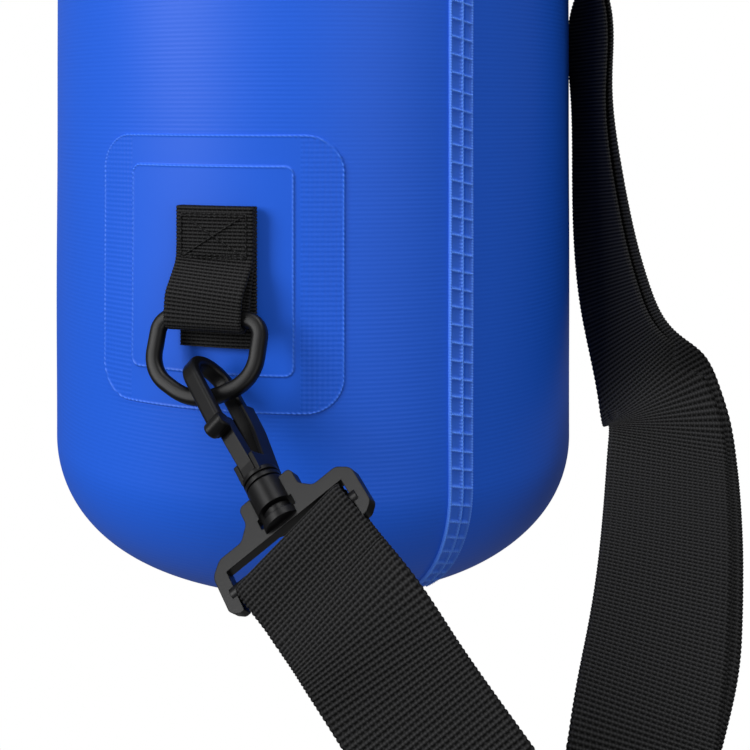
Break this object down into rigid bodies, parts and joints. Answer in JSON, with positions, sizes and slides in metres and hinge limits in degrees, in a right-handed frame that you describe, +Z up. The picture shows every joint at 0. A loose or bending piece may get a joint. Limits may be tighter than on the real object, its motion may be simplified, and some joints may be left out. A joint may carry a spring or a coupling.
{
  "type": "dry bag",
  "caption": "Roll-top dry bag with welded side seam, anchor patch and ring, swivel snap hooks and a doubled shoulder strap, hanging by its buckled closure.",
  "frame": {"origin": "lifting point: middle of the underside of the buckle, at the top of the carry loop", "axes": "+Z up along the bag, +X along the closure towards the plug half and the shoulder strap, -Y to the anchor patch"},
  "size_m": [0.2655, 0.2622, 0.5044],
  "materials": {
    "coated_fabric": "satin PVC-coated polyester tarpaulin, fine woven ribs showing through",
    "weld_strip": "PVC heat weld with a pressed ladder pattern",
    "loop_webbing": "ribbed 25 mm polyester webbing, sewn",
    "strap_webbing": "ribbed 38 mm polyester webbing",
    "moulded_plastic": "satin acetal moulding",
    "pin_metal": "blackened steel pin"
  },
  "bodies": {
    "bag": {"bag_wall": "coated_fabric", "base_disc": "coated_fabric", "side_weld": "weld_strip", "anchor_patch": "coated_fabric", "anchor_webbing": "loop_webbing", "lower_ring_loop": "loop_webbing", "upper_ring_loop": "loop_webbing", "roll_closure": "coated_fabric", "closure_stiffener": "moulded_plastic", "left_buckle_tab": "loop_webbing", "right_buckle_tab": "loop_webbing", "buckle_socket": "moulded_plastic", "buckle_plug": "moulded_plastic", "strap_main_run": "strap_webbing", "strap_return_run": "strap_webbing"},
    "front_prong": {"front_prong": "moulded_plastic"},
    "rear_prong": {"rear_prong": "moulded_plastic"},
    "lower_ring": {"lower_d_ring": "moulded_plastic"},
    "lower_frame": {"lower_strap_frame": "moulded_plastic", "lower_strap_end": "strap_webbing"},
    "lower_hook": {"lower_hook": "moulded_plastic", "lower_gate_pin": "pin_metal"},
    "lower_gate": {"lower_gate": "moulded_plastic"},
    "upper_ring": {"upper_d_ring": "moulded_plastic"},
    "upper_frame": {"upper_strap_frame": "moulded_plastic", "upper_strap_end": "strap_webbing"},
    "upper_hook": {"upper_hook": "moulded_plastic", "upper_gate_pin": "pin_metal"},
    "upper_gate": {"upper_gate": "moulded_plastic"},
    "slider": {"strap_slider": "moulded_plastic", "strap_slider_loop": "strap_webbing"}
  },
  "joints": [
    {"name": "lower_ring_swing", "type": "hinge", "parent": "bag", "child": "lower_ring", "pos_m": [0.0025, -0.1025, -0.3485], "axis": [-1, 0, 0], "range_deg": [-8, 75]},
    {"name": "lower_frame_swing", "type": "hinge", "parent": "bag", "child": "lower_frame", "pos_m": [0.0025, -0.1025, -0.3485], "axis": [-1, 0, 0], "range_deg": [-8, 75]},
    {"name": "lower_hook_swivel", "type": "hinge", "parent": "lower_frame", "child": "lower_hook", "pos_m": [0.04017, -0.13759, -0.39768], "axis": [-0.6386, 0.519, 0.5682], "range_deg": [-14, 12]},
    {"name": "lower_gate_press", "type": "hinge", "parent": "lower_hook", "child": "lower_gate", "pos_m": [0.02555, -0.12879, -0.38449], "axis": [-0.6831, -0.0422, -0.7291], "range_deg": [0, 16], "stiffness_Nm_per_rad": 0.05, "springref_deg": -8.59},
    {"name": "upper_ring_swing", "type": "hinge", "parent": "bag", "child": "upper_ring", "pos_m": [0.1187, 0, -0.062], "axis": [0, -1, 0], "range_deg": [-3, 75]},
    {"name": "upper_frame_swing", "type": "hinge", "parent": "bag", "child": "upper_frame", "pos_m": [0.1187, 0, -0.062], "axis": [0, -1, 0], "range_deg": [-3, 75]},
    {"name": "upper_hook_swivel", "type": "hinge", "parent": "upper_frame", "child": "upper_hook", "pos_m": [0.1187, 0, -0.13567], "axis": [0, 0, 1], "range_deg": [-30, 30]},
    {"name": "upper_gate_press", "type": "hinge", "parent": "upper_hook", "child": "upper_gate", "pos_m": [0.1214, 0, -0.11427], "axis": [0, -1, 0], "range_deg": [0, 16], "stiffness_Nm_per_rad": 0.05, "springref_deg": -8.59},
    {"name": "strap_adjust", "type": "slide", "parent": "bag", "child": "slider", "axis": [-0.203, 0.0406, -0.9783], "range_m": [0, 0.03]},
    {"name": "front_prong_press", "type": "hinge", "parent": "bag", "child": "front_prong", "pos_m": [0.006, -0.009, 0.005], "axis": [0, 0, -1], "range_deg": [0, 8], "stiffness_Nm_per_rad": 0.3, "springref_deg": -2.86},
    {"name": "rear_prong_press", "type": "hinge", "parent": "bag", "child": "rear_prong", "pos_m": [0.006, 0.009, 0.005], "axis": [0, 0, 1], "range_deg": [0, 8]}
  ],
  "couplings": [
    {"joint": "lower_ring_swing", "follows": "lower_frame_swing", "ratio": 1},
    {"joint": "upper_ring_swing", "follows": "upper_frame_swing", "ratio": 1},
    {"joint": "rear_prong_press", "follows": "front_prong_press", "ratio": 1}
  ]
}
